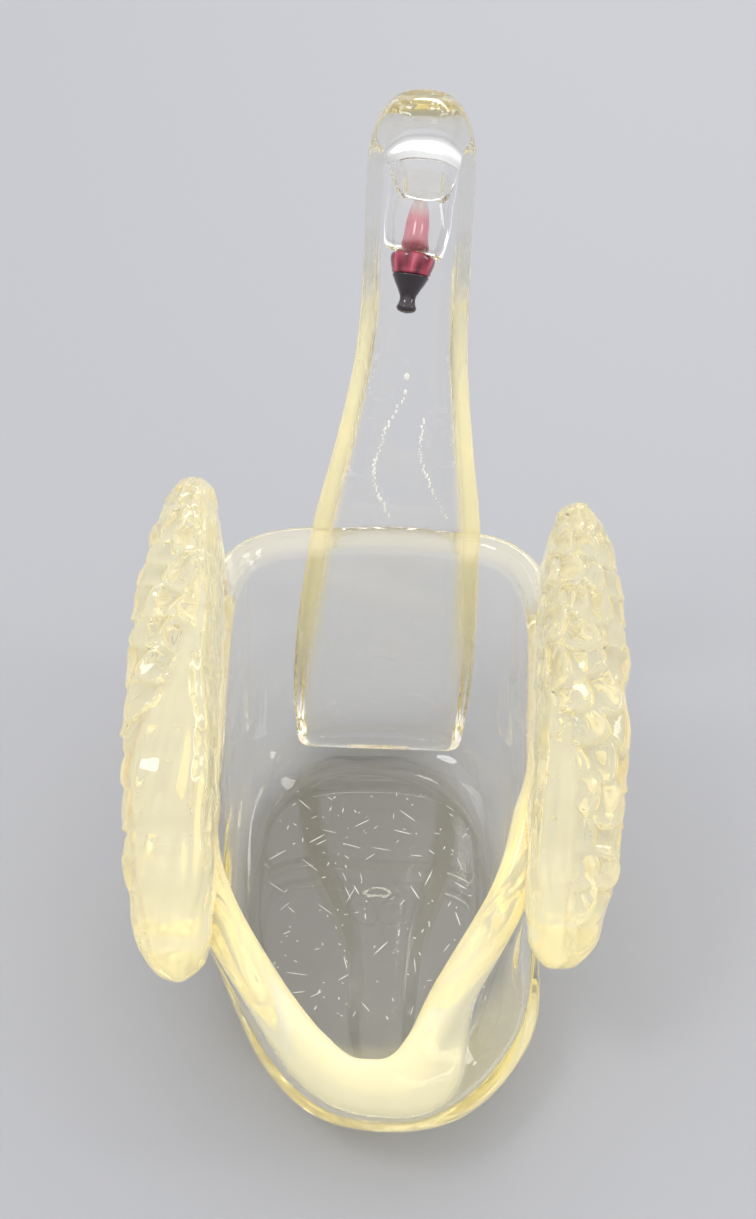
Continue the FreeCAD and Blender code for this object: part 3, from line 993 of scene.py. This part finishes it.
def make_scratches():
    """Wear on the bowl's floor: short scratches in all directions, and specks, white with a painted glow."""
    chance = np.random.RandomState(SCRATCH_SEED)
    bm = bmesh.new()
    for _ in range(SCRATCH_COUNT):
        x, y = chance.uniform(*SCRATCH_X), chance.uniform(*SCRATCH_Y)
        half_length = 0.3 + 3.2 * chance.uniform() ** 3
        heading = chance.uniform(0.0, math.pi)
        half_sizes = (half_length, chance.uniform(*SCRATCH_HALF_WIDTH), SCRATCH_HALF_DEPTH)
        add_blob(bm, (x, y, SCRATCH_HEIGHT), half_sizes, 1, heading)
    # white scratches with a painted glow
    look = bright_speck("scratched_glass", (0.93, 0.94, 0.93, 1.0), 0.35, WHITE, 0.12)
    finish_detail(add_built("foot_scratches", bm, smooth=False), look)


def finish_piece(piece, node, material):
    piece.data.materials.append(material)
    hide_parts(node)
    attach(piece, "root")


def make_bowl(glass, coarse):
    bowl = mesh_field("bowl_glass", bowl_field, (-50, -84, -4), (50, 74, 86), STEPS["bowl"] * coarse)
    mark(bowl, "crevice", bowl_crevices)
    mark(bowl, "cream_and_painted_glow", bowl_cream_and_painted_glow)
    finish_piece(bowl, "bowl", glass)


def make_neck(glass, coarse):
    neck = mesh_field("neck_glass", neck_cut, (-28, 40, -3), (32, 92, 202), STEPS["neck"] * coarse)
    mark(neck, "crevice", neck_crevices)
    mark(neck, "cream_and_painted_glow", neck_cream_and_painted_glow)
    finish_piece(neck, "neck", glass)


def make_head(glass, coarse):
    head = mesh_field("head_glass", head_field, (-6, 30, 160), (16, 56, 192), STEPS["head"] * coarse)
    finish_piece(head, "head", glass)


def make_wing(side, low_x, high_x, glass, coarse):
    low, high = (low_x, -56, 26), (high_x, 64, 114)
    wing = mesh_field(side + "_wing_glass", wing_cut(side), low, high, STEPS["wing"] * coarse)
    mark(wing, "crevice", wing_crevices(side))
    mark(wing, "cream_and_painted_glow", wing_cream_and_painted_glow(side))
    finish_piece(wing, side + "_wing", glass)


def make_core_and_beak():
    core = turned_mesh("head_core_glass", CORE_PROFILE, FACE_CENTRE, HEAD_DIRECTION)
    mark(core, "shade", core_shade)
    finish_piece(core, "head_core", red_glass())
    beak_start = FACE_CENTRE + HEAD_DIRECTION * CORE_PROUD
    beak = turned_mesh("beak_glass", BEAK_PROFILE, beak_start, HEAD_DIRECTION)
    finish_piece(beak, "beak", black_glass())


def make_pieces():
    coarse = 1.0
    # Both glasses are given a painted glow wherever a piece stores a cream amount.
    glass = cream_glass_with_painted_glow("cream_glass_with_painted_glow", 8.0)
    pale_glass = cream_glass_with_painted_glow("pale_glass", 1.5)
    make_bowl(glass, coarse)
    make_neck(pale_glass, coarse)
    make_seeds()
    make_scratches()
    make_head(pale_glass, coarse)
    make_wing("left", -64, -34, glass, coarse)
    make_wing("right", 34, 64, glass, coarse)
    make_core_and_beak()


# ---- stage ----

def make_floor():
    """A plain pale floor, just under the base so that the two faces don't fight."""
    mesh = bpy.data.meshes.new("floor")
    corners = [(i * FLOOR_HALF, j * FLOOR_HALF, -FLOOR_GAP) for i, j in ((-1, -1), (1, -1), (1, 1), (-1, 1))]
    mesh.from_pydata(corners, [], [(0, 1, 2, 3)])
    floor = add_object("floor", mesh)
    material, tree, shader = new_material("floor")
    feed(tree, shader, {"Base Color": FLOOR_GREY, "Roughness": 0.6})
    floor.data.materials.append(material)


def make_lamps():
    for name, place, size, power in LAMPS:
        data = bpy.data.lights.new(name, "AREA")
        data.shape = "ELLIPSE"
        data.size, data.size_y = size
        data.energy = power
        lamp = add_object(name, data)
        lamp.location = place
        lamp.rotation_euler = (Vector(LAMP_TARGET) - Vector(place)).to_track_quat("-Z", "Y").to_euler()


def make_sky():
    """Soft light all round, brighter from above."""
    world = bpy.data.worlds.new("studio")
    bpy.context.scene.world = world
    world.use_nodes = True
    tree = world.node_tree
    place = node_output(tree, "ShaderNodeTexCoord", "Generated", {})
    height = node_output(tree, "ShaderNodeSeparateXYZ", "Z", {0: place})
    colour = ramped(tree, height, SKY_STOPS)
    feed(tree, tree.nodes["Background"], {"Color": colour, "Strength": SKY_STRENGTH})


def make_camera():
    """The view is from above and behind the tail, turned a little."""
    data = bpy.data.cameras.new("camera")
    data.sensor_width = CAMERA_SENSOR
    data.lens = CAMERA_LENS
    data.clip_start = CAMERA_NEAREST
    camera = add_object("camera", data)
    turn = Euler((math.radians(90.0) - CAMERA_PITCH, 0.0, 0.0)).to_matrix().to_4x4()
    turn = turn @ Matrix.Rotation(CAMERA_ROLL, 4, "Z")
    camera.matrix_world = Matrix.Translation(Vector(CAMERA_PLACE) * MM) @ turn
    bpy.context.scene.camera = camera


def set_light_paths():
    """Thick glass reflects light inside itself many times before it leaves."""
    cycles = bpy.context.scene.cycles
    cycles.max_bounces = BOUNCES
    cycles.transmission_bounces = BOUNCES
    cycles.glossy_bounces = BOUNCES
    bpy.context.scene.view_settings.view_transform = "Standard"


make_camera()
make_pieces()
make_floor()
make_lamps()
make_sky()
set_light_paths()
